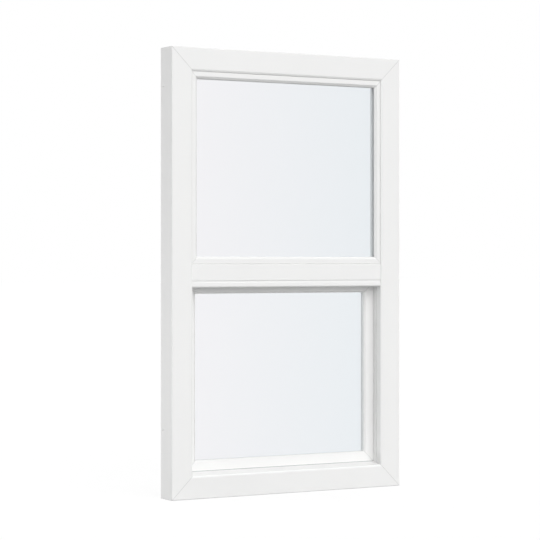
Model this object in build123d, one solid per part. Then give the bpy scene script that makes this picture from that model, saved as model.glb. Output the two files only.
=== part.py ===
from build123d import *
from math import atan2, copysign, degrees, hypot
import os

# White vinyl single hung window: a fixed upper lite and a lower sash that slides up behind it.
# X runs across the window, Y from the weather side to the room side, Z up from the sill's
# flat underside. The origin is at the middle of that underside.

# Frame, outside to outside
frame_width = 902.0
frame_height = 1511.0
frame_depth = 82.5
jamb_face = 78.0
sill_face = 78.0
edge_round = 3.0
inner_round = 0.8
face_bevel = 6.0
face_bevel_depth = 3.0
outer_wall = 2.5
web = 2.0
weld_width = 0.9
weld_depth = 0.5
same_size = 0.01

# Depth of the fixed part of the frame, in front of the sash track
fixed_depth = 50.5
front_web_depth = 24.5
front_web_place = 38.0

# Groove in the reveal for an insect screen
screen_width = 6.0
screen_depth = 2.5

# Balance track behind the fixed part
track_inset = 12.0
pocket_width = 28.0
track_lip = 2.0
throat_start = 60.0
throat_end = 71.0

# Sill
sill_rise = 8.5
sill_floor_height = 40.0
dam_height = 10.0

# Fixed meeting rail
rail_bottom = 707.0
rail_face = 79.0
rail_setback = 4.0
rail_back = 43.5
rail_wall = 2.2
rail_lip = 16.0
rail_round = 6.0
rail_groove_width = 8.0
rail_groove_depth = 2.5
hook_wall = 1.8
rail_hook_reach = 6.3
rail_hook_height = 11.5

# Upper lite
bead_setback = 5.0
bead_depth = 8.0
bead_slope = 7.0
bead_slope_depth = 6.0
joint_bevel = 1.8
side_bead_face = 20.0
level_bead_face = 24.0
stop_wall = 1.8

# Insulating glass, the same in both lites
pane = 3.0
air_gap = 12.0
glass_edge_gap = 4.0
spacer_inset = 3.0
spacer_height = 7.0

# Sash
sash_front_gap = 1.0
sash_thickness = 27.5
sash_side_gap = 3.0
sash_bottom_gap = 1.5
sash_overlap = 26.0
stile_face = 45.0
top_rail_face = 46.0
bottom_rail_face = 34.5
sash_wall = 2.2
glazing_lip = 5.0
lip_bevel = 5.0
rebate_width = 14.0
sash_bead_chamfer = 2.5

# Interlocking hook on the sash's top rail
sash_hook_inset = 20.0
sash_hook_gap = 1.5
sash_hook_wall = 1.6
sash_hook_drop = 14.0
sash_hook_top = 9.0
keeper_notch = 60.0

# Lift rail on the room side of the bottom rail
lift_reach = 14.0
lift_wall = 2.5
lift_lip = 4.0
lift_end_inset = 60.0

# Weatherstrips
pile_width = 3.0
pile_inset = 4.0
pile_kerf = 2.5
pile_clearance = 0.3
seal_width = 6.0
seal_setback = 0.5

# Cam lock, keeper and tilt latches
lock_length = 72.0
lock_width = 21.0
lock_height = 10.0
lock_base = 2.5
lock_hub = 8.0
housing_length = 46.0
housing_corner = 7.0
housing_draft = 14.0
lever_length = 38.0
lever_width = 13.0
lever_thick = 3.0
lever_tip = 4.0
lever_rise = 8.0
keeper_length = 48.0
keeper_height = 19.0
keeper_wall = 1.8
keeper_reach = 7.3
keeper_screw = 17.0
cam_plate = 2.5
head_radius = 2.6
head_depth = 0.9
latch_length = 62.0
latch_width = 15.0
latch_height = 8.0
latch_round = 2.0
latch_inset = 12.0
latch_bolt_reach = 9.0
slide_length = 20.0
slide_width = 9.0
ridge_width = 1.2
ridge_height = 0.8
ridge_count = 6
bolt_clearance = 1.0
bolt_bevel = 3.0

# Balances: a constant force coil and a shoe in each track
shoe_height = 50.0
shoe_clearance = 0.5
coil_height = 905.0
coil_diameter = 25.0
coil_bore = 10.0
cam_radius = 9.0
cam_groove = 1.0
coil_width = 9.0
strip_thick = 0.6
pivot_width = 7.0
pivot_height = 6.0
pivot_lift = 8.0
pivot_clearance = 0.2

# Screw holes through the jambs
screw_radius = 2.5
lower_screw = 230.0
upper_screw_inset = 131.0
screw_depth = 65.0

# Places worked out from the sizes above
half_width = frame_width / 2
front = -frame_depth / 2
track_face = jamb_face - track_inset
pocket_back = track_face - track_lip - pocket_width
pocket_end = frame_depth - outer_wall
sill_seat = sill_face + sill_rise
rail_top = rail_bottom + rail_face
bead_back = bead_setback + bead_depth
glass_back = bead_back + 2 * pane + air_gap
sash_front = fixed_depth + sash_front_gap
sash_back = sash_front + sash_thickness
sash_middle = (sash_front + sash_back) / 2
throat_middle = (throat_start + throat_end) / 2
sash_bottom = sill_seat + sash_bottom_gap
sash_top = rail_bottom + sash_overlap
sash_half = half_width - track_face - sash_side_gap
clip_reach = 2 * frame_depth

# Rectangles in the window's plane, as left, bottom, right and top
frame_outer = (-half_width, 0.0, half_width, frame_height)
frame_inner = (-half_width + jamb_face, sill_face, half_width - jamb_face, frame_height - jamb_face)
lite_outer = (frame_inner[0], rail_top, frame_inner[2], frame_inner[3])
lite_inner = (
    lite_outer[0] + side_bead_face,
    lite_outer[1] + level_bead_face,
    lite_outer[2] - side_bead_face,
    lite_outer[3] - level_bead_face,
)
sash_outer = (-sash_half, sash_bottom, sash_half, sash_top)
sash_inner = (
    -sash_half + stile_face,
    sash_bottom + bottom_rail_face,
    sash_half - stile_face,
    sash_top - top_rail_face,
)


def inset(box, amount):
    """The same rectangle with each side moved inwards."""
    return (box[0] + amount, box[1] + amount, box[2] - amount, box[3] - amount)


def slab(box, depth_start, depth_end):
    """A rectangular plate in the window's plane, between two depths from the weather face."""
    wide = box[2] - box[0]
    tall = box[3] - box[1]
    deep = depth_end - depth_start
    middle = ((box[0] + box[2]) / 2, front + (depth_start + depth_end) / 2, (box[1] + box[3]) / 2)
    return Pos(*middle) * Box(wide, deep, tall)


def outline(points):
    """A flat face from the corners of its outline."""
    return make_face(Polyline(*points, close=True))


def chamber(near, far):
    """A rectangular chamber of a section, from one corner to the other."""
    centre = ((near[0] + far[0]) / 2, (near[1] + far[1]) / 2)
    return Pos(*centre) * Rectangle(far[0] - near[0], far[1] - near[1])


def round_corner(section, corner, radius):
    """Round the corner of a section nearest to a point."""
    vertex = section.vertices().sort_by_distance((corner[0], corner[1], 0))[0]
    return fillet(vertex, radius)


def chamfer_corner(section, corner, length):
    """Bevel the corner of a section nearest to a point."""
    vertex = section.vertices().sort_by_distance((corner[0], corner[1], 0))[0]
    return chamfer(vertex, length)


def side_plane(side, box):
    """A plane whose X runs inwards from one side of a rectangle and whose Y is the depth."""
    if side == "left":
        return Plane(origin=(box[0], front, box[1]), x_dir=(1, 0, 0), z_dir=(0, 0, 1))
    if side == "right":
        return Plane(origin=(box[2], front, box[3]), x_dir=(-1, 0, 0), z_dir=(0, 0, -1))
    if side == "top":
        return Plane(origin=(box[0], front, box[3]), x_dir=(0, 0, -1), z_dir=(1, 0, 0))
    return Plane(origin=(box[2], front, box[1]), x_dir=(0, 0, 1), z_dir=(-1, 0, 0))


def prism(points):
    """A prism through the whole depth over an outline in the window's plane."""
    face = make_face(Polyline(*[(x, -clip_reach, z) for x, z in points], close=True))
    return extrude(face, amount=2 * clip_reach, dir=(0, 1, 0))


def mitre_line(across, along, outer, inner):
    """The two ends of a corner's 45 degree joint, from the outer edge to the inner corner."""
    corner = (inner[across], inner[along])
    wide = outer[across] - corner[0]
    tall = outer[along] - corner[1]
    reach = min(abs(wide), abs(tall))
    start = (corner[0] + copysign(reach, wide), corner[1] + copysign(reach, tall))
    return start, corner


def mitre_clip(side, outer, inner):
    """The space of one side of a mitred rectangle, whose wider bars run to the outer corners."""
    first, last = {
        "left": [(0, 1), (0, 3)],
        "right": [(2, 3), (2, 1)],
        "top": [(0, 3), (2, 3)],
        "bottom": [(2, 1), (0, 1)],
    }[side]
    own = 0 if side in ("left", "right") else 1
    paths = []
    for corner in (first, last):
        start, end = mitre_line(*corner, outer, inner)
        faces = [abs(outer[place] - inner[place]) for place in corner]
        path = [start, end]
        if faces[own] - faces[1 - own] > same_size:
            path.insert(0, (outer[corner[0]], outer[corner[1]]))
        paths.append(path)
    return prism(paths[0] + paths[1][::-1])


def weld_lines(outer, inner, depth_start, depth_end):
    """Fine grooves along the four joints of a welded rectangle, between two depths."""
    lines = []
    for across, along in ((0, 1), (2, 1), (2, 3), (0, 3)):
        start, end = mitre_line(across, along, outer, inner)
        run = (end[0] - start[0], end[1] - start[1])
        turn = -degrees(atan2(run[1], run[0]))
        middle = (start[0] + run[0] / 2, front + (depth_start + depth_end) / 2, start[1] + run[1] / 2)
        groove = Box(hypot(*run), depth_end - depth_start, weld_width)
        lines.append(Pos(*middle) * Rot(0, turn, 0) * groove)
    return Compound(lines)


def bar(section, side, box):
    """A straight bar of a section along the whole of one side of a rectangle."""
    length = box[3] - box[1] if side in ("left", "right") else box[2] - box[0]
    return extrude(side_plane(side, box) * section, amount=length)


def mitred_bar(section, side, outer, inner):
    """A bar along one side of a rectangle, mitred to its neighbours."""
    return bar(section, side, outer) & mitre_clip(side, outer, inner)


def frame_section():
    """Head and jamb: hollow chambers, and behind them the balance track with its throat."""
    lip = track_face - track_lip
    first_row = front_web_depth + web
    second_row = fixed_depth - web
    groove_end = first_row + screen_width
    section = outline([
        (0, 0),
        (jamb_face - face_bevel, 0),
        (jamb_face, face_bevel_depth),
        (jamb_face, first_row),
        (jamb_face - screen_depth, first_row),
        (jamb_face - screen_depth, groove_end),
        (jamb_face, groove_end),
        (jamb_face, fixed_depth),
        (track_face, fixed_depth),
        (track_face, throat_start),
        (lip, throat_start),
        (lip, fixed_depth),
        (pocket_back, fixed_depth),
        (pocket_back, pocket_end),
        (lip, pocket_end),
        (lip, throat_end),
        (track_face, throat_end),
        (track_face, frame_depth),
        (0, frame_depth),
    ])
    section = round_corner(section, (0, 0), edge_round)
    inner_wall = jamb_face - outer_wall
    second_start = front_web_place + web
    section -= chamber((outer_wall, outer_wall), (front_web_place, front_web_depth))
    section -= outline([
        (second_start, outer_wall),
        (inner_wall - face_bevel, outer_wall),
        (inner_wall, outer_wall + face_bevel_depth),
        (inner_wall, front_web_depth),
        (second_start, front_web_depth),
    ])
    section -= chamber((outer_wall, first_row), (front_web_place, second_row))
    section -= chamber((second_start, first_row), (inner_wall - screen_depth, second_row))
    section -= chamber((outer_wall, fixed_depth), (pocket_back - web, pocket_end))
    return section


def sill_section():
    """Sill: a face, a top that sheds water outwards, a level seat and a dam on the room side."""
    slope = sill_rise / (fixed_depth - face_bevel_depth)
    section = outline([
        (0, 0),
        (sill_face - face_bevel, 0),
        (sill_face, face_bevel_depth),
        (sill_seat, fixed_depth),
        (sill_seat, pocket_end),
        (sill_seat + dam_height, pocket_end),
        (sill_seat + dam_height, frame_depth),
        (0, frame_depth),
    ])
    section = round_corner(section, (0, 0), edge_round)
    section = round_corner(section, (sill_seat + dam_height, pocket_end), inner_round)
    rows = [
        (outer_wall, front_web_depth),
        (front_web_depth + web, fixed_depth - web),
        (fixed_depth, pocket_end),
    ]
    for start, end in rows:
        section -= chamber((outer_wall, start), (sill_floor_height, end))
    low = sill_floor_height + web
    for start, end in rows[:2]:
        bend = max(start, outer_wall + face_bevel_depth)
        top_bend = sill_face + slope * (bend - face_bevel_depth) - outer_wall
        top_end = sill_face + slope * (end - face_bevel_depth) - outer_wall
        top_start = top_bend - (bend - start) * face_bevel / face_bevel_depth
        corners = [(low, start), (top_start, start), (top_bend, bend), (top_end, end), (low, end)]
        section -= outline(list(dict.fromkeys(corners)))
    last = rows[2]
    section -= chamber((low, last[0]), (sill_seat - outer_wall, last[1]))
    return section


def screw_holes():
    """Fixing holes through both jambs, reached from the room side through the track's throat."""
    holes = []
    for height in (lower_screw, frame_height - upper_screw_inset):
        spot = Pos(0, front + screw_depth, height)
        holes.append(spot * Rot(0, 90, 0) * Cylinder(screw_radius, 2 * frame_width))
    return Compound(holes)


def frame_parts():
    """The welded frame: head, two jambs and sill."""
    section = frame_section()
    grooves = weld_lines(frame_outer, frame_inner, 0, weld_depth)
    parts = {}
    for name, side in (("frame_head", "top"), ("frame_left_jamb", "left"), ("frame_right_jamb", "right")):
        parts[name] = mitred_bar(section, side, frame_outer, frame_inner) - grooves
    for name in ("frame_left_jamb", "frame_right_jamb"):
        parts[name] -= screw_holes()
    parts["frame_sill"] = sill_part() - grooves
    return parts


def sill_part():
    """The sill, mitred in front and run between the tracks behind."""
    sill = bar(sill_section(), "bottom", frame_outer)
    tall = sill_seat + 2 * dam_height
    left, right = frame_inner[0], frame_inner[2]
    space = mitre_clip("bottom", frame_outer, frame_inner) + prism([
        (left, sill_face),
        (left, tall),
        (right, tall),
        (right, sill_face),
    ])
    behind = slab((-half_width, 0, half_width, tall), fixed_depth, frame_depth)
    near = half_width - track_face
    far = half_width - jamb_face
    for sign in (-1, 1):
        wing = prism([
            (sign * near, sill_face - jamb_face + track_face),
            (sign * near, tall),
            (sign * far, tall),
            (sign * far, sill_face),
        ])
        space += wing & behind
    return sill & space


def rail_section():
    """Fixed meeting rail: a hollow box with a grooved face and a hook that catches the sash."""
    top = rail_face
    groove_end = rail_lip + rail_groove_width
    section = outline([
        (0, rail_setback),
        (rail_lip, rail_setback),
        (rail_lip, rail_setback + rail_groove_depth),
        (groove_end, rail_setback + rail_groove_depth),
        (groove_end, rail_setback),
        (top, rail_setback),
        (top, rail_back),
        (hook_wall, rail_back),
        (hook_wall, rail_back + rail_hook_reach - hook_wall),
        (rail_hook_height, rail_back + rail_hook_reach - hook_wall),
        (rail_hook_height, rail_back + rail_hook_reach),
        (0, rail_back + rail_hook_reach),
    ])
    section = round_corner(section, (0, rail_setback), rail_round)
    section = chamfer_corner(section, (top, rail_setback), joint_bevel)
    middle = (rail_setback + rail_back) / 2
    near = rail_setback + rail_groove_depth + rail_wall
    shelf = groove_end
    section -= chamber((rail_wall, near), (shelf - rail_wall, rail_back - rail_wall))
    section -= chamber((shelf, near), (top - rail_wall, middle - web / 2))
    section -= chamber((shelf, middle + web / 2), (top - rail_wall, rail_back - rail_wall))
    return section


def meeting_rail():
    """The fixed meeting rail, run between the jambs."""
    box = (frame_inner[0], rail_bottom, frame_inner[2], rail_top)
    return bar(rail_section(), "bottom", box)


def bead_section(face):
    """Glazing bead on the weather side of the upper lite: flat, then sloped down to the glass."""
    section = outline([
        (0, bead_setback),
        (face - bead_slope, bead_setback),
        (face, bead_setback + bead_slope_depth),
        (face, bead_back),
        (0, bead_back),
    ])
    section = chamfer_corner(section, (0, bead_setback), joint_bevel)
    inside = face - bead_slope - stop_wall
    return section - chamber((2 * stop_wall, bead_setback + stop_wall), (inside, bead_back - stop_wall))


def stop_section(face):
    """Hollow glazing stop on the room side of the upper lite, flush with the rail's back."""
    section = chamber((0, glass_back), (face, rail_back))
    section = chamfer_corner(section, (face, rail_back), sash_bead_chamfer)
    inside = face - sash_bead_chamfer - stop_wall
    return section - chamber((stop_wall, glass_back + stop_wall), (inside, rail_back - stop_wall))


def upper_lite():
    """Beads, stops and insulating glass of the fixed upper lite."""
    faces = {
        "top": level_bead_face,
        "bottom": level_bead_face,
        "left": side_bead_face,
        "right": side_bead_face,
    }
    parts = {}
    for side, face in faces.items():
        parts["upper_bead_" + side] = mitred_bar(bead_section(face), side, lite_outer, lite_inner)
        parts["upper_stop_" + side] = mitred_bar(stop_section(face), side, lite_outer, lite_inner)
    glass = inset(lite_outer, glass_edge_gap)
    parts.update(glass_unit("upper", glass, bead_back))
    parts["upper_setting_blocks"] = setting_blocks(glass, bead_back, lite_outer[1])
    return parts


def glass_unit(name, glass, start):
    """Two panes of glass held apart by a hollow spacer."""
    inner_start = start + pane + air_gap
    ring = inset(glass, spacer_inset)
    spacer = slab(ring, start + pane, inner_start)
    spacer -= slab(inset(ring, spacer_height), start + pane, inner_start)
    return {
        name + "_outer_pane": slab(glass, start, start + pane),
        name + "_inner_pane": slab(glass, inner_start, inner_start + pane),
        name + "_spacer": spacer,
    }


def setting_blocks(glass, start, seat):
    """Two blocks that carry the glass at its quarter points."""
    quarter = (glass[2] - glass[0]) / 4
    half = quarter / 4
    blocks = []
    for spot in (-quarter, quarter):
        box = (spot - half, seat, spot + half, glass[1])
        blocks.append(slab(box, start, start + 2 * pane + air_gap))
    return Compound(blocks)


def sash_section(face):
    """Sash stile or rail: two chambers, a glazing lip and a rebate for the glass."""
    rebate = face - rebate_width
    lip = sash_front + glazing_lip
    section = outline([
        (0, sash_front),
        (face, sash_front),
        (face, lip),
        (rebate, lip),
        (rebate, sash_back),
        (0, sash_back),
    ])
    section = chamfer_corner(section, (face, sash_front), lip_bevel)
    near = sash_front + sash_wall
    inside = rebate - sash_wall
    section -= chamber((sash_wall, near + pile_kerf), (inside, sash_middle - web / 2))
    section -= chamber((sash_wall, sash_middle + web / 2), (inside, sash_back - sash_wall))
    return section


def stile_section():
    """Stile with the kerf that holds its weatherstrip."""
    kerf = chamber((pile_inset, sash_front), (pile_inset + pile_width, sash_front + pile_kerf))
    return sash_section(stile_face) - kerf


def sash_hook():
    """Hook along the top rail that drops into the fixed rail's hook when the sash is down."""
    start = rail_back + sash_hook_gap
    section = outline([
        (sash_hook_top, sash_front),
        (sash_hook_top, start),
        (sash_hook_top + sash_hook_drop, start),
        (sash_hook_top + sash_hook_drop, start + sash_hook_wall),
        (sash_hook_top + sash_hook_wall, start + sash_hook_wall),
        (sash_hook_top + sash_hook_wall, sash_front),
    ])
    reach = lite_inner[2] - sash_hook_inset
    hook = bar(section, "top", (-reach, sash_bottom, reach, sash_top))
    return hook - slab((-keeper_notch / 2, 0, keeper_notch / 2, frame_height), 0, sash_front)


def lift_rail():
    """Finger lip along the room side of the bottom rail."""
    low = bottom_rail_face - rebate_width - lift_wall
    section = outline([
        (low, sash_back),
        (low + lift_wall, sash_back),
        (low + lift_wall, sash_back + lift_reach),
        (low - lift_lip, sash_back + lift_reach),
        (low - lift_lip, sash_back + lift_reach - lift_wall),
        (low, sash_back + lift_reach - lift_wall),
    ])
    section = round_corner(section, (low + lift_wall, sash_back + lift_reach), edge_round - inner_round)
    reach = sash_half - lift_end_inset
    return bar(section, "bottom", (-reach, sash_bottom, reach, sash_top))


def pivot_box(clearance):
    """The space of a pivot bar's section, through both sides of the sash and both tracks."""
    low = sash_bottom + pivot_lift - clearance
    half = pivot_width / 2 + clearance
    box = (-half_width, low, half_width, low + pivot_height + 2 * clearance)
    return slab(box, throat_middle - half, throat_middle + half)


def side_box(sign, near, far, low, high):
    """A rectangle on one side of the window, from its distances from the middle."""
    first, last = sorted((sign * near, sign * far))
    return (first, low, last, high)


def sash_parts():
    """The welded sash: stiles, rails, beads and glass."""
    stile = stile_section()
    grooves = weld_lines(sash_outer, sash_inner, sash_front, sash_front + weld_depth)
    top = mitred_bar(sash_section(top_rail_face), "top", sash_outer, sash_inner)
    bottom = mitred_bar(sash_section(bottom_rail_face), "bottom", sash_outer, sash_inner)
    parts = {
        "sash_top_rail": top - grooves + sash_hook(),
        "sash_bottom_rail": bottom - grooves + lift_rail(),
    }
    for side in ("left", "right"):
        bare = mitred_bar(stile, side, sash_outer, sash_inner)
        parts["sash_" + side + "_stile"] = bare - grooves - pivot_box(pivot_clearance)
    rebate = {
        "left": stile_face - rebate_width,
        "right": stile_face - rebate_width,
        "top": top_rail_face - rebate_width,
        "bottom": bottom_rail_face - rebate_width,
    }
    opening = (
        sash_outer[0] + rebate["left"],
        sash_outer[1] + rebate["bottom"],
        sash_outer[2] - rebate["right"],
        sash_outer[3] - rebate["top"],
    )
    start = sash_front + glazing_lip
    bead_start = start + 2 * pane + air_gap
    section = chamber((0, bead_start), (rebate_width, sash_back))
    section = chamfer_corner(section, (rebate_width, sash_back), sash_bead_chamfer)
    for side in ("top", "bottom", "left", "right"):
        parts["sash_bead_" + side] = mitred_bar(section, side, opening, sash_inner)
    glass = inset(opening, glass_edge_gap)
    parts.update(glass_unit("sash", glass, start))
    parts["sash_setting_blocks"] = setting_blocks(glass, start, opening[1])
    return parts


def weatherstrips():
    """Pile strips in the stiles, a pile behind the fixed rail and a bulb under the sash."""
    tip = fixed_depth + pile_clearance
    strips = []
    for side in ("left", "right"):
        section = chamber((pile_inset, tip), (pile_inset + pile_width, sash_front + pile_kerf))
        strips.append(mitred_bar(section, side, sash_outer, sash_inner))
    rail_tip = rail_back + rail_hook_reach
    pile_low = rail_bottom + 2 * hook_wall
    pile_high = rail_bottom + rail_hook_height - hook_wall
    span = (frame_inner[0], pile_low, frame_inner[2], pile_high)
    seal_start = sash_front + seal_setback
    under = (-sash_half + seal_width, sill_seat, sash_half - seal_width, sash_bottom)
    return {
        "stile_piles": Compound(strips),
        "meeting_rail_pile": slab(span, rail_tip, sash_front - pile_clearance),
        "sash_bottom_seal": slab(under, seal_start, seal_start + seal_width),
    }


def recess(radius, depth):
    """A round screw recess, centred on the surface that it is cut into."""
    return Cylinder(radius, 2 * depth)


def lock_body():
    """Cam lock on the sash's top rail: a base, a drafted housing and the cam below the lever."""
    half = lock_length / 2
    base_top = sash_top + lock_base
    near = sash_middle - lock_width / 2
    body = slab((-half, sash_top, half, base_top), near, near + lock_width)
    body = fillet(body.edges().filter_by(Axis.Z), lock_width / 2 - inner_round)
    plan = RectangleRounded(housing_length, lock_width - lock_base, housing_corner)
    housing = extrude(plan, amount=lock_height - lock_base, taper=housing_draft)
    housing = fillet(housing.faces().sort_by(Axis.Z)[-1].edges(), inner_round)
    body += Pos(0, front + sash_middle, base_top) * housing
    screw_place = (half + housing_length / 2) / 2
    for place in (-screw_place, screw_place):
        body -= Pos(place, front + sash_middle, base_top) * recess(head_radius, head_depth)
    low = sash_top + cam_plate
    cam_tip = rail_back + keeper_wall + bolt_clearance
    catch_top = sash_top + keeper_height - keeper_wall - bolt_clearance
    body += slab((-lock_hub, low, lock_hub, low + cam_plate), cam_tip, sash_middle - lock_base)
    body += slab((-lock_hub, low, lock_hub, catch_top), cam_tip, cam_tip + cam_plate)
    return body


def lock_lever():
    """Lever of the lock, with a tapered arm and a raised tip for the thumb."""
    standing = (Align.CENTER, Align.CENTER, Align.MIN)
    lever = Cylinder(lock_hub, lever_thick, align=standing)
    arm = outline([
        (0, -lever_width / 2),
        (lever_length, -lever_tip),
        (lever_length, lever_tip),
        (0, lever_width / 2),
    ])
    lever += extrude(arm, amount=lever_thick)
    tip = Cylinder(lever_tip, lever_rise, align=standing)
    lever += Pos(lever_length, 0, 0) * fillet(tip.edges().sort_by(Axis.Z)[-1], inner_round)
    return Pos(0, front + sash_middle, sash_top + lock_height) * lever


def lock_keeper():
    """Keeper on the fixed rail's back, with a lip that the cam pulls against."""
    half = keeper_length / 2
    top = sash_top + keeper_height
    lip = rail_back + keeper_reach
    keeper = slab((-half, sash_top, half, top), rail_back, rail_back + keeper_wall)
    keeper = fillet(keeper.edges().filter_by(Axis.Y).sort_by(Axis.Z)[-2:], 2 * keeper_wall)
    roof = 2 * keeper_wall - half
    keeper += slab((roof, top - keeper_wall, -roof, top), rail_back, lip)
    keeper += slab((roof, top - 3 * keeper_wall, -roof, top), lip - keeper_wall, lip)
    height = (sash_top + top) / 2
    for place in (-keeper_screw, keeper_screw):
        spot = Pos(place, front + rail_back + keeper_wall, height) * Rot(90, 0, 0)
        keeper -= spot * recess(head_radius, head_depth)
    return keeper


def latch(sign):
    """Tilt latch on the sash's top rail: its housing, its ridged thumb slide and its bolt."""
    near = sash_half - latch_inset
    far = near - latch_length
    top = sash_top + latch_height
    start = throat_middle - latch_width / 2
    body = slab(side_box(sign, near, far, sash_top, top), start, start + latch_width)
    body = fillet(body.faces().sort_by(Axis.Z)[-1].edges(), latch_round)
    slide = extrude(RectangleRounded(slide_length, slide_width, latch_round), amount=ridge_height)
    ridge = Box(ridge_width, slide_width - ridge_width, 4 * ridge_height)
    slide += [place * ridge for place in GridLocations(2 * ridge_width, 0, ridge_count, 1)]
    body += Pos(sign * (near + far) / 2, front + throat_middle, top) * slide
    tip = half_width - track_face + latch_bolt_reach
    half_bolt = (throat_end - throat_start) / 2 - bolt_clearance
    bolt_low = sash_top + web
    bolt_box = side_box(sign, near, tip, bolt_low, top - web)
    bolt = slab(bolt_box, throat_middle - half_bolt, throat_middle + half_bolt)
    nose = (sign * tip, front + throat_middle + half_bolt, bolt_low)
    bolt = chamfer(bolt.edges().filter_by(Axis.Z).sort_by_distance(nose)[0], bolt_bevel)
    return body + bolt


def balance_shoe(sign):
    """Shoe that slides in the track, with the round cam that takes the pivot bar."""
    near = half_width - track_face + track_lip + shoe_clearance
    far = half_width - pocket_back - shoe_clearance
    box = side_box(sign, near, far, sash_bottom, sash_bottom + shoe_height)
    shoe = slab(box, fixed_depth + shoe_clearance, pocket_end - shoe_clearance)
    shoe = fillet(shoe.edges().filter_by(Axis.Y), inner_round)
    pivot_centre = sash_bottom + pivot_lift + pivot_height / 2
    ring = Cylinder(cam_radius, 2 * cam_groove) - Cylinder(cam_radius - cam_groove, 2 * cam_groove)
    shoe -= Pos(sign * near, front + throat_middle, pivot_centre) * Rot(0, 90, 0) * ring
    return shoe - pivot_box(pivot_clearance)


def pivot_bar(sign):
    """Bar from the foot of the stile into the shoe."""
    near = half_width - track_face - sash_side_gap - 2 * sash_wall
    far = half_width - pocket_back - 2 * shoe_clearance
    return pivot_box(0) & slab(side_box(sign, near, far, 0, frame_height), 0, frame_depth)


def balance_coil(sign):
    """Coiled spring on its pin in the track, with the strip down to the shoe."""
    radius = coil_diameter / 2
    wall_side = half_width - pocket_back - shoe_clearance
    centre = sign * (wall_side - radius)
    depth = pocket_end - shoe_clearance - coil_width / 2
    coil_start = depth - coil_width / 2
    along = Rot(90, 0, 0)
    coil = Pos(centre, front + depth, coil_height) * along * Cylinder(radius, coil_width)
    pin_middle = (coil_start + pocket_end) / 2
    pin = Cylinder(coil_bore / 2, pocket_end - coil_start)
    coil += Pos(centre, front + pin_middle, coil_height) * along * pin
    strip = side_box(sign, wall_side - strip_thick, wall_side, sash_bottom + shoe_height, coil_height)
    return coil + slab(strip, coil_start, coil_start + coil_width)


def build_window():
    """All the pieces by name."""
    parts = frame_parts()
    parts["fixed_meeting_rail"] = meeting_rail()
    parts.update(upper_lite())
    parts.update(sash_parts())
    parts.update(weatherstrips())
    parts["lock_body"] = lock_body()
    parts["lock_lever"] = lock_lever()
    parts["lock_keeper"] = lock_keeper()
    for name, sign in (("left", -1), ("right", 1)):
        parts[name + "_tilt_latch"] = latch(sign)
        parts[name + "_balance_shoe"] = balance_shoe(sign)
        parts[name + "_pivot_bar"] = pivot_bar(sign)
        parts[name + "_balance_coil"] = balance_coil(sign)
    return parts


def main():
    os.makedirs("parts", exist_ok=True)
    for name, shape in build_window().items():
        export_step(shape, "parts/" + name + ".step")


main()
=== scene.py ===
import math

import bmesh
import bpy
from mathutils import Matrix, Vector


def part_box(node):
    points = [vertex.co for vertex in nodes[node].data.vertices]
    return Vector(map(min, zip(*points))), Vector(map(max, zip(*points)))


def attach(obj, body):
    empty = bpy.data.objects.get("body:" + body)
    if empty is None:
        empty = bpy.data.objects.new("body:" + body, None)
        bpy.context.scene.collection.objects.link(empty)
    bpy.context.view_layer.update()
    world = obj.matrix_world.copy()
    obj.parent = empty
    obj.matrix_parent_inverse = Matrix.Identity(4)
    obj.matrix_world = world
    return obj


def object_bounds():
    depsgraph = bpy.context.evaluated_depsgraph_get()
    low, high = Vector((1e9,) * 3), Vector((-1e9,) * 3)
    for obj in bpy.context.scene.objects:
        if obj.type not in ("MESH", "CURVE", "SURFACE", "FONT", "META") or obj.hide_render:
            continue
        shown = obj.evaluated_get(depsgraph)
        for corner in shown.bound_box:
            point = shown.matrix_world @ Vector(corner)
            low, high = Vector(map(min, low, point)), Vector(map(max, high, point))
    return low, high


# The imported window, and its box before anything is added. Places and lengths are in metres: X to
# the right seen from the weather side, Y from the weather side to the room side, Z up
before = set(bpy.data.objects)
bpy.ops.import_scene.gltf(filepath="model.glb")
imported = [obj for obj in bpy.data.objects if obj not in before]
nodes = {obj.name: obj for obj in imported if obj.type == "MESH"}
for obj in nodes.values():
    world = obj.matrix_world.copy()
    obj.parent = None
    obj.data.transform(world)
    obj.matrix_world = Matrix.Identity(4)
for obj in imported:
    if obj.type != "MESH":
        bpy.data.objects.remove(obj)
cad_box = [list(corner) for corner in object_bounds()]

LOW, HIGH = 0, 1
X, Y, Z = 0, 1, 2

# Camera, fitted to the photograph: its place, its turn about Z in degrees, its lens and sensor in
# millimetres, its shift as a share of the picture's width, and how far it sees
CAMERA_PLACE = (-3.351, -5.833, 0.798)
CAMERA_AZIMUTH = -29.48
CAMERA_LENS = 129.9
CAMERA_SENSOR = 36.0
CAMERA_SHIFT_Y = -0.0174
CAMERA_REACH = 200.0

# Studio light, all white: from which side, as an axis and a sign, and how strong it is there
STUDIO = [("X", -1, 0.32), ("X", 1, 0.70), ("Y", -1, 0.20), ("Y", 1, 1.35)]
WHITE = (1, 1, 1, 1)

# Key lamp, far in front and above: where it shines from, its strength and its spread in degrees
KEY_FROM = (-1.5, -27.0, 19.6)
KEY_STRENGTH = 2.3
KEY_SPREAD = 60.0

# Soft box low behind the left side: where it stands, what it lights, its width and its watts
BACK_FROM = (-2.6, 1.6, 0.15)
BACK_TARGET = (-0.45, 0, 0.3)
BACK_SIZE = 0.8
BACK_POWER = 23

# Floor: its colour as it lights the window and as it is seen, its glow where it is seen, its
# roughness, how far it reaches each way and how far under the sill it lies
FLOOR = (0.47, 0.47, 0.47)
FLOOR_SEEN = (0.14, 0.14, 0.14)
FLOOR_GLOW = 0.87
FLOOR_ROUGHNESS = 0.9
FLOOR_REACH = 60.0
FLOOR_DROP = 0.0005

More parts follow.
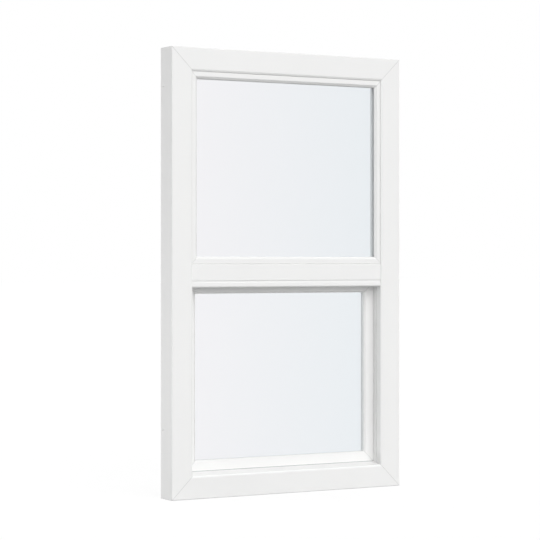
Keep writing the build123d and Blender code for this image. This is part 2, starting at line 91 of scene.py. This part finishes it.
# Vinyl, linear colour: how dark and light its clouds are and how fine, its range of roughness, the
# fineness of its skin, and the strength and depth of the die lines and the skin in its relief
VINYL = (0.86, 0.86, 0.855)
VINYL_TINTS = (0.99, 1.008)
VINYL_CLOUDS = 5.0
VINYL_ROUGHNESS = (0.30, 0.42)
VINYL_IOR = 1.53
VINYL_SKIN = 900.0
LINE_RELIEF = (0.10, 0.0004)
SKIN_RELIEF = (0.05, 0.0001)

# Die lines run along each bar: how fine the vinyl's pattern is along X, Y and Z
ALONG_UPRIGHT = (600, 600, 3)
ALONG_LEVEL = (3, 600, 600)

# Bars of the frame, the upper lite and the sash, upright and level, by the ends of their names
UPRIGHT_BARS = ("_jamb", "_stile", "_left", "_right")
LEVEL_BARS = ("_head", "_sill", "_rail", "_top", "_bottom")

# Joints at the corners, a greyer weld scar with painted shade of their groove: half their width
# along an edge, their soft edge and their shade
JOINT_REACH = 0.0006
JOINT_EDGE = 0.0002
JOINT_SCAR_AND_PAINTED_SHADE = 0.62

# Glass: its cool tint left and right of the middle, with painted shade that darkens it towards the
# right, how far out the tint changes, its index, and the share of each colour that it lets through
# to shadows
GLASS_TINT_WITH_PAINTED_LIGHT_LEFT = (0.942, 0.941, 0.952)
GLASS_TINT_WITH_PAINTED_SHADE_RIGHT = (0.902, 0.923, 0.938)
GLASS_REACH = 0.35
GLASS_IOR = 1.5
GLASS_CLEAR = (0.99, 0.995, 0.995, 1)

# Pile: its colour, how dark and light its fibres are and how fine, their strength and depth in its
# relief, its roughness and its sheen
PILE = (0.42, 0.43, 0.45)
PILE_TINTS = (0.7, 1.25)
PILE_FINENESS = (2500, 2500, 2500)
PILE_RELIEF = (0.6, 0.0005)
PILE_ROUGHNESS = 0.95
PILE_SHEEN = 0.3

# Moulded and metal finishes: the fineness of the grain (scale) and its stretch, the strength of
# its relief, and how far the colour strays (spread). The usual values hold where a finish has none
STEEL = (0.55, 0.55, 0.56)
USUAL_FINISH = {"metallic": 0.0, "relief": 0.05, "spread": 0.06, "stretch": (1, 1, 1)}
FINISHES = {
    "spacer": {"colour": (0.84, 0.84, 0.83), "roughness": 0.55, "scale": 300.0},
    "block": {"colour": (0.025, 0.025, 0.025), "roughness": 0.7, "scale": 200.0},
    "seal": {"colour": (0.30, 0.31, 0.32), "roughness": 0.6, "scale": 300.0},
    "enamel": {
        "colour": (0.84, 0.84, 0.83), "roughness": 0.30, "scale": 260.0, "relief": 0.03,
        "spread": 0.01,
    },
    "spring": {
        "colour": STEEL, "roughness": 0.32, "scale": 1.0, "metallic": 1.0,
        "stretch": (900, 900, 30),
    },
    "nylon": {"colour": (0.74, 0.74, 0.72), "roughness": 0.5, "scale": 300.0},
    "screw": {"colour": STEEL, "roughness": 0.25, "scale": 400.0, "metallic": 1.0},
    "gasket": {"colour": VINYL, "roughness": 0.5, "scale": 400.0, "spread": 0.01},
}

# In all of these finishes, how far the roughness strays and how deep the grain is
ROUGHNESS_SPREAD = 0.06
GRAIN_DEPTH = 0.0003

# CAD nodes that wear one of these finishes, by the ends of their names
PLAIN_NODES = {
    "spacer": ("_spacer",),
    "block": ("_blocks",),
    "seal": ("_seal",),
    "enamel": ("lock_body", "lock_lever", "lock_keeper", "_tilt_latch"),
    "spring": ("_coil", "_pivot_bar"),
    "nylon": ("_shoe",),
}

# Colour sockets of Blender's Mix node, which carry the same names as its number sockets
MIX_FIRST = 6
MIX_SECOND = 7
MIX_RESULT = 2

# Screw heads: their size, how deep they sit in their seat, and their dome as shares of both
SCREW_RADIUS = 0.0024
SCREW_HEIGHT = 0.0014
SCREW_SEAT = 0.0009
SCREW_SIDES = 32
SCREW_DOME = [(1.0, 0.0), (1.0, 0.45), (0.93, 0.68), (0.78, 0.86), (0.5, 0.97), (0.2, 1.0)]

# Cross recess: its arms, how much they narrow downwards, and its lowest and highest point
CROSS_LENGTH = 0.0030
CROSS_WIDTH = 0.0007
CROSS_TAPER = 0.6
CROSS_FLOOR = 0.0005
CROSS_TOP = 0.0017

# Where the screws stand: the lock's base and the keeper's wall, how far from the middle their
# screws are, how far a latch's screw is from its inner end and above the sash, and their turns
LOCK_BASE = 0.0025
LOCK_SCREW = 0.0295
KEEPER_WALL = 0.0018
KEEPER_SCREW = 0.017
LATCH_SCREW = 0.006
LATCH_RISE = 0.0080
UPWARDS = (0, 0, 0)
TO_ROOM = (math.radians(-90), 0, 0)

# Glazing gasket: how far it stands out on the glass and up the bead, and the steps of its round
GASKET_WIDTH = 0.0012
GASKET_HEIGHT = 0.0010
GASKET_STEPS = 4


# Shader nodes

def feed(tree, node, inputs):
    """Link or set the inputs of a shader node."""
    for key, value in inputs.items():
        if isinstance(value, bpy.types.NodeSocket):
            tree.links.new(value, node.inputs[key])
        else:
            node.inputs[key].default_value = value


def add(tree, kind, inputs=None, **settings):
    """A new shader node with its settings and its inputs."""
    node = tree.nodes.new(kind)
    for key, value in settings.items():
        setattr(node, key, value)
    feed(tree, node, inputs or {})
    return node


def new_material(name):
    """An empty material: its tree, its principled shader and its output."""
    material = bpy.data.materials.new(name)
    material.use_nodes = True
    tree = material.node_tree
    tree.nodes.clear()
    shader = add(tree, "ShaderNodeBsdfPrincipled")
    output = add(tree, "ShaderNodeOutputMaterial", {"Surface": shader.outputs["BSDF"]})
    return material, tree, shader, output


def coordinates(tree, kind):
    """X, Y and Z of a place in metres (Object), or of a direction in the world (Generated)."""
    where = add(tree, "ShaderNodeTexCoord")
    return add(tree, "ShaderNodeSeparateXYZ", {"Vector": where.outputs[kind]}).outputs


def place(tree, scale=(1, 1, 1)):
    """A place in metres, stretched by a scale along X, Y and Z."""
    where = add(tree, "ShaderNodeTexCoord")
    inputs = {"Vector": where.outputs["Object"], "Scale": scale}
    return add(tree, "ShaderNodeMapping", inputs).outputs["Vector"]


def noise(tree, vector, scale, detail, roughness=0.5):
    """A noise value from 0 to 1."""
    inputs = {"Vector": vector, "Scale": scale, "Detail": detail, "Roughness": roughness}
    return add(tree, "ShaderNodeTexNoise", inputs).outputs["Fac"]


def between(tree, value, low, high):
    """A value from 0 to 1 mapped to a range."""
    inputs = {"Value": value, "To Min": low, "To Max": high}
    return add(tree, "ShaderNodeMapRange", inputs).outputs["Result"]


def share(tree, value, none, whole):
    """A value mapped to 0 to 1: 0 at none and beyond it, 1 at whole and beyond it."""
    inputs = {"Value": value, "From Min": none, "From Max": whole}
    return add(tree, "ShaderNodeMapRange", inputs).outputs["Result"]


def tinted(tree, value, first, second):
    """A colour between two, each a socket or a colour, by a value from 0 to 1."""
    inputs = {"Factor": value}
    for key, end in ((MIX_FIRST, first), (MIX_SECOND, second)):
        inputs[key] = end if isinstance(end, bpy.types.NodeSocket) else (*end, 1)
    return add(tree, "ShaderNodeMix", inputs, data_type="RGBA").outputs[MIX_RESULT]


def shade(colour, amount):
    """A colour made darker or lighter by a factor."""
    return tuple(min(1.0, channel * amount) for channel in colour)


def mottled(tree, value, colour, dark, light):
    """A colour that goes from a dark to a light shade of it, by a value from 0 to 1."""
    return tinted(tree, value, shade(colour, dark), shade(colour, light))


def bumped(tree, height, strength, depth, normal=None):
    """A bump, on top of another if one is given."""
    inputs = {"Height": height, "Strength": strength, "Distance": depth}
    if normal is not None:
        inputs["Normal"] = normal
    return add(tree, "ShaderNodeBump", inputs).outputs["Normal"]


def math_node(tree, operation, first, second=0.0):
    """The result of one sum on values."""
    inputs = {0: first, 1: second}
    return add(tree, "ShaderNodeMath", inputs, operation=operation).outputs["Value"]


def mixed(tree, value, first, second):
    """A shader between two, by a value from 0 to 1."""
    inputs = {0: value, 1: first, 2: second}
    return add(tree, "ShaderNodeMixShader", inputs).outputs["Shader"]


# Materials

def joint_scar_and_painted_shade(tree, corners):
    """1 in the mitred joints through the corners of a rectangle centred on X = 0, 0 beside them:
    where a weld scar and painted shade darken the vinyl.
    """
    _, bottom, right, top = corners
    spot = coordinates(tree, "Object")
    across = math_node(tree, "ABSOLUTE", spot["X"])
    upper = math_node(tree, "SUBTRACT", across, spot["Z"])
    lower = math_node(tree, "ADD", across, spot["Z"])
    from_upper = math_node(tree, "ABSOLUTE", math_node(tree, "SUBTRACT", upper, right - top))
    from_lower = math_node(tree, "ABSOLUTE", math_node(tree, "SUBTRACT", lower, right + bottom))
    nearest = math_node(tree, "MINIMUM", from_upper, from_lower)
    return share(tree, nearest, JOINT_REACH + JOINT_EDGE, JOINT_REACH)


def vinyl(name, stretch, joints=None):
    """Extruded vinyl: satin, with faint die lines along the bar and fine joints at the corners,
    darkened by a greyer weld scar and painted shade.
    """
    material, tree, shader, _ = new_material(name)
    clouds = noise(tree, place(tree), scale=VINYL_CLOUDS, detail=4.0)
    colour = mottled(tree, clouds, VINYL, *VINYL_TINTS)
    # Painted shade: the corner joints are darkened in the colour, which stands in for the shade in
    # their groove, together with a greyer weld scar.
    if joints is not None:
        colour = tinted(tree, joint_scar_and_painted_shade(tree, joints), colour, shade(VINYL, JOINT_SCAR_AND_PAINTED_SHADE))
    lines = noise(tree, place(tree, stretch), scale=1.0, detail=4.0, roughness=0.6)
    skin = noise(tree, place(tree), scale=VINYL_SKIN, detail=2.0)
    lined = bumped(tree, lines, *LINE_RELIEF)
    feed(tree, shader, {
        "Base Color": colour,
        "Roughness": between(tree, lines, *VINYL_ROUGHNESS),
        "Normal": bumped(tree, skin, *SKIN_RELIEF, lined),
        "IOR": VINYL_IOR,
    })
    return material


def glass():
    """Clear float glass with a cool tint and painted shade that darkens it towards the right, which
    lets light through to what is behind it.
    """
    material, tree, shader, output = new_material("glass")
    # Painted shade: the tint grows darker from left to right across the glass, standing in for the
    # change in its reflection.
    side = share(tree, coordinates(tree, "Object")["X"], -GLASS_REACH, GLASS_REACH)
    feed(tree, shader, {
        "Base Color": tinted(tree, side, GLASS_TINT_WITH_PAINTED_LIGHT_LEFT, GLASS_TINT_WITH_PAINTED_SHADE_RIGHT),
        "Roughness": 0.0,
        "IOR": GLASS_IOR,
        "Transmission Weight": 1.0,
    })
    clear = add(tree, "ShaderNodeBsdfTransparent", {"Color": GLASS_CLEAR})
    rays = add(tree, "ShaderNodeLightPath").outputs
    through = math_node(tree, "MAXIMUM", rays["Is Shadow Ray"], rays["Is Diffuse Ray"])
    surface = mixed(tree, through, shader.outputs["BSDF"], clear.outputs["BSDF"])
    feed(tree, output, {"Surface": surface})
    return material


def pile():
    """Woven pile: short upright fibres."""
    material, tree, shader, _ = new_material("pile")
    fibres = noise(tree, place(tree, PILE_FINENESS), scale=1.0, detail=2.0, roughness=0.7)
    feed(tree, shader, {
        "Base Color": mottled(tree, fibres, PILE, *PILE_TINTS),
        "Normal": bumped(tree, fibres, *PILE_RELIEF),
        "Roughness": PILE_ROUGHNESS,
        "Sheen Weight": PILE_SHEEN,
    })
    return material


def plain(name):
    """A moulded or metal surface with a little variation in colour, gloss and level."""
    finish = {**USUAL_FINISH, **FINISHES[name]}
    spread, gloss = finish["spread"], finish["roughness"]
    material, tree, shader, _ = new_material(name)
    where = place(tree, finish["stretch"])
    grain = noise(tree, where, finish["scale"], detail=4.0, roughness=0.55)
    feed(tree, shader, {
        "Base Color": mottled(tree, grain, finish["colour"], 1 - spread, 1 + spread),
        "Roughness": between(tree, grain, gloss - ROUGHNESS_SPREAD, gloss + ROUGHNESS_SPREAD),
        "Normal": bumped(tree, grain, finish["relief"], GRAIN_DEPTH),
        "Metallic": finish["metallic"],
    })
    return material


# Finish of the CAD nodes

def coat(mesh, material):
    """Give a mesh one material."""
    mesh.materials.clear()
    mesh.materials.append(material)


def paint(names, material):
    """Give CAD nodes a material."""
    for name in names:
        coat(nodes[name].data, material)


def ending(endings, group=""):
    """The CAD nodes whose names start with a group's name and have one of these endings."""
    return [name for name in nodes if name.startswith(group) and name.endswith(endings)]


def glass_opening(name):
    """The rectangle that the beads of the upper lite or the sash leave open."""
    bead = name + "_bead_"
    left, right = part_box(bead + "left")[HIGH][X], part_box(bead + "right")[LOW][X]
    bottom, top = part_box(bead + "bottom")[HIGH][Z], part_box(bead + "top")[LOW][Z]
    return left, bottom, right, top


def dress_nodes():
    """Every CAD node gets its finish."""
    (left, _, bottom), (right, _, top) = cad_box
    for name, corners in (
        ("frame", (left, bottom, right, top)),
        ("upper", glass_opening("upper")),
        ("sash", glass_opening("sash")),
    ):
        paint(ending(UPRIGHT_BARS, name), vinyl(name + "_upright", ALONG_UPRIGHT, corners))
        paint(ending(LEVEL_BARS, name), vinyl(name + "_level", ALONG_LEVEL, corners))
    paint(["fixed_meeting_rail"], vinyl("rail_level", ALONG_LEVEL))
    paint(ending("_pane"), glass())
    paint(ending(("_pile", "_piles")), pile())
    for name, endings in PLAIN_NODES.items():
        paint(ending(endings), plain(name))


# Added pieces

def new_object(name, data):
    """A new object in the scene that shows a mesh, a lamp or the camera."""
    thing = bpy.data.objects.new(name, data)
    bpy.context.scene.collection.objects.link(thing)
    return thing


def new_piece(name, mesh, material):
    """A piece of the scene that rides on the window."""
    piece = new_object(name, mesh)
    coat(mesh, material)
    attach(piece, "root")
    return piece


def turned(rings):
    """A closed form turned about Z from a list of radius and height, with a flat at each end."""
    vertices = []
    for radius, height in rings:
        for side in range(SCREW_SIDES):
            angle = math.tau * side / SCREW_SIDES
            vertices.append((radius * math.cos(angle), radius * math.sin(angle), height))
    faces = [tuple(reversed(range(SCREW_SIDES)))]
    for row in range(len(rings) - 1):
        low = row * SCREW_SIDES
        high = low + SCREW_SIDES
        for side in range(SCREW_SIDES):
            after = (side + 1) % SCREW_SIDES
            faces.append((low + side, low + after, high + after, high + side))
    last = (len(rings) - 1) * SCREW_SIDES
    faces.append(tuple(range(last, last + SCREW_SIDES)))
    return vertices, faces


def cross():
    """A cross that stands in a screw head and narrows downwards, for its recess."""
    shape = bmesh.new()
    for along, across in ((CROSS_LENGTH, CROSS_WIDTH), (CROSS_WIDTH, CROSS_LENGTH)):
        made = bmesh.ops.create_cube(shape, size=1.0)
        for vertex in made["verts"]:
            narrow = CROSS_TAPER if vertex.co.z < 0 else 1.0
            height = CROSS_TOP if vertex.co.z > 0 else CROSS_FLOOR
            vertex.co = (vertex.co.x * along * narrow, vertex.co.y * across, height)
    mesh = bpy.data.meshes.new("cross")
    shape.to_mesh(mesh)
    shape.free()
    return mesh


def screw_mesh():
    """A domed screw head with a cross recess, standing on its seat."""
    rings = [(SCREW_RADIUS * radius, SCREW_HEIGHT * height) for radius, height in SCREW_DOME]
    vertices, faces = turned(rings)
    mesh = bpy.data.meshes.new("screw")
    mesh.from_pydata(vertices, [], faces)
    head = new_object("screw", mesh)
    cutter = new_object("cutter", cross())
    recess = head.modifiers.new("recess", "BOOLEAN")
    recess.object = cutter
    recess.operation = "DIFFERENCE"
    recess.use_self = True
    evaluated = head.evaluated_get(bpy.context.evaluated_depsgraph_get())
    carved = bpy.data.meshes.new_from_object(evaluated)
    for thing in (head, cutter):
        bpy.data.objects.remove(thing)
    return carved


def middle(box, axis):
    """The middle of a box along an axis."""
    return (box[LOW][axis] + box[HIGH][axis]) / 2


def make_screws(material):
    """The screws that hold the lock, its keeper and the tilt latches."""
    mesh = screw_mesh()
    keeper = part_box("lock_keeper")
    keeper_face = keeper[LOW][Y] + KEEPER_WALL - SCREW_SEAT
    sash_top = keeper[LOW][Z]
    lock_face = sash_top + LOCK_BASE - SCREW_SEAT
    sash_middle = middle(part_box("sash_left_stile"), Y)
    for side, sign in (("left", -1), ("right", 1)):
        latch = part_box(side + "_tilt_latch")
        inner_end = latch[LOW][X] if sign > 0 else latch[HIGH][X]
        lock_spot = (sign * LOCK_SCREW, sash_middle, lock_face)
        keeper_spot = (sign * KEEPER_SCREW, keeper_face, middle(keeper, Z))
        latch_spot = (inner_end + sign * LATCH_SCREW, middle(latch, Y), sash_top + LATCH_RISE)
        for name, spot, turn in (
            ("lock_screw_" + side, lock_spot, UPWARDS),
            ("keeper_screw_" + side, keeper_spot, TO_ROOM),
            (side + "_latch_screw", latch_spot, UPWARDS),
        ):
            piece = new_piece(name, mesh.copy(), material)
            piece.location = spot
            piece.rotation_euler = turn


def gasket(name, opening, depth, toward, material):
    """A soft lip around an opening, on the face of the glass."""
    left, bottom, right, top = opening
    profile = [(0.0, 0.0)]
    for step in range(GASKET_STEPS + 1):
        angle = math.radians(90) * step / GASKET_STEPS
        profile.append((GASKET_WIDTH * math.cos(angle), GASKET_HEIGHT * math.sin(angle)))
    corners = [
        (left, bottom, 1, 1), (right, bottom, -1, 1), (right, top, -1, -1), (left, top, 1, -1),
    ]
    vertices = []
    for x, z, inward_x, inward_z in corners:
        for wide, high in profile:
            vertices.append((x + inward_x * wide, depth + toward * high, z + inward_z * wide))
    count = len(profile)
    faces = []
    for corner in range(len(corners)):
        here = corner * count
        there = (corner + 1) % len(corners) * count
        for point in range(count):
            after = (point + 1) % count
            faces.append((here + point, there + point, there + after, here + after))
    mesh = bpy.data.meshes.new(name)
    mesh.from_pydata(vertices, [], faces)
    shape = bmesh.new()
    shape.from_mesh(mesh)
    bmesh.ops.recalc_face_normals(shape, faces=shape.faces)
    shape.to_mesh(mesh)
    shape.free()
    new_piece(name, mesh, material)


def make_gaskets(material):
    """The soft lips that seal both faces of both glass units."""
    for name in ("upper", "sash"):
        opening = glass_opening(name)
        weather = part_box(name + "_outer_pane")[LOW][Y]
        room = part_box(name + "_inner_pane")[HIGH][Y]
        gasket(name + "_gasket_weather", opening, weather, -1, material)
        gasket(name + "_gasket_room", opening, room, 1, material)


# Camera, light and floor

def make_camera():
    """The photograph's viewing angle: level, from the left, with the frame set by the shift."""
    data = bpy.data.cameras.new("camera")
    data.lens = CAMERA_LENS
    data.sensor_width = CAMERA_SENSOR
    data.shift_y = CAMERA_SHIFT_Y
    data.clip_end = CAMERA_REACH
    camera = new_object("camera", data)
    camera.location = CAMERA_PLACE
    camera.rotation_euler = (math.radians(90), 0, math.radians(CAMERA_AZIMUTH))
    bpy.context.scene.camera = camera


def add_lamp(data, spot, target):
    """A lamp at a place, turned towards a point."""
    lamp = new_object(data.name, data)
    lamp.location = spot
    direction = Vector(target) - lamp.location
    lamp.rotation_euler = direction.to_track_quat("-Z", "Y").to_euler()


def make_key():
    """A far, soft light from in front and above, even over the whole window."""
    data = bpy.data.lights.new("key", "SUN")
    data.energy = KEY_STRENGTH
    data.angle = math.radians(KEY_SPREAD)
    add_lamp(data, KEY_FROM, (0, 0, 0))


def make_back():
    """A square soft box that lightens the foot of the left side."""
    data = bpy.data.lights.new("back", "AREA")
    data.shape = "SQUARE"
    data.size = BACK_SIZE
    data.energy = BACK_POWER
    add_lamp(data, BACK_FROM, BACK_TARGET)


def seen_directly(tree):
    """1 for rays that show the background itself: from the camera, in gloss and through glass."""
    rays = add(tree, "ShaderNodeLightPath").outputs
    first = math_node(tree, "MAXIMUM", rays["Is Camera Ray"], rays["Is Glossy Ray"])
    return math_node(tree, "MAXIMUM", first, rays["Is Transmission Ray"])


def studio_light(tree):
    """The light of the surroundings by direction: a soft lobe from each side."""
    direction = coordinates(tree, "Generated")
    total = 0.0
    for axis, sign, strength in STUDIO:
        lobe = math_node(tree, "MULTIPLY", direction[axis], sign * strength)
        total = math_node(tree, "ADD", math_node(tree, "MAXIMUM", lobe), total)
    return total


def make_world():
    """A soft studio that shows white where it is seen."""
    world = bpy.data.worlds.new("studio")
    world.use_nodes = True
    tree = world.node_tree
    tree.nodes.clear()
    light = add(tree, "ShaderNodeBackground", {"Color": WHITE, "Strength": studio_light(tree)})
    white = add(tree, "ShaderNodeBackground", {"Color": WHITE, "Strength": 1.0})
    ends = (light.outputs["Background"], white.outputs["Background"])
    surface = mixed(tree, seen_directly(tree), *ends)
    add(tree, "ShaderNodeOutputWorld", {"Surface": surface})
    bpy.context.scene.world = world


def make_floor():
    """A pale floor that keeps the shadow."""
    mesh = bpy.data.meshes.new("floor")
    around = [(-1, -1), (1, -1), (1, 1), (-1, 1)]
    corners = [(x * FLOOR_REACH, y * FLOOR_REACH, 0) for x, y in around]
    mesh.from_pydata(corners, [], [(0, 1, 2, 3)])
    floor = new_object("floor", mesh)
    floor.location = (0, 0, -FLOOR_DROP)
    material, tree, shader, output = new_material("floor")
    seen = seen_directly(tree)
    feed(tree, shader, {
        "Base Color": tinted(tree, seen, FLOOR, FLOOR_SEEN),
        "Roughness": FLOOR_ROUGHNESS,
        "Specular IOR Level": 0.0,
    })
    glow = add(tree, "ShaderNodeEmission", {"Strength": between(tree, seen, 0.0, FLOOR_GLOW)})
    inputs = {0: shader.outputs["BSDF"], 1: glow.outputs["Emission"]}
    lift = add(tree, "ShaderNodeAddShader", inputs)
    feed(tree, output, {"Surface": lift.outputs["Shader"]})
    coat(mesh, material)


# The scene

make_camera()
make_world()
make_floor()
make_key()
make_back()
dress_nodes()
make_screws(plain("screw"))
make_gaskets(plain("gasket"))

bpy.context.scene.view_settings.view_transform = "Standard"
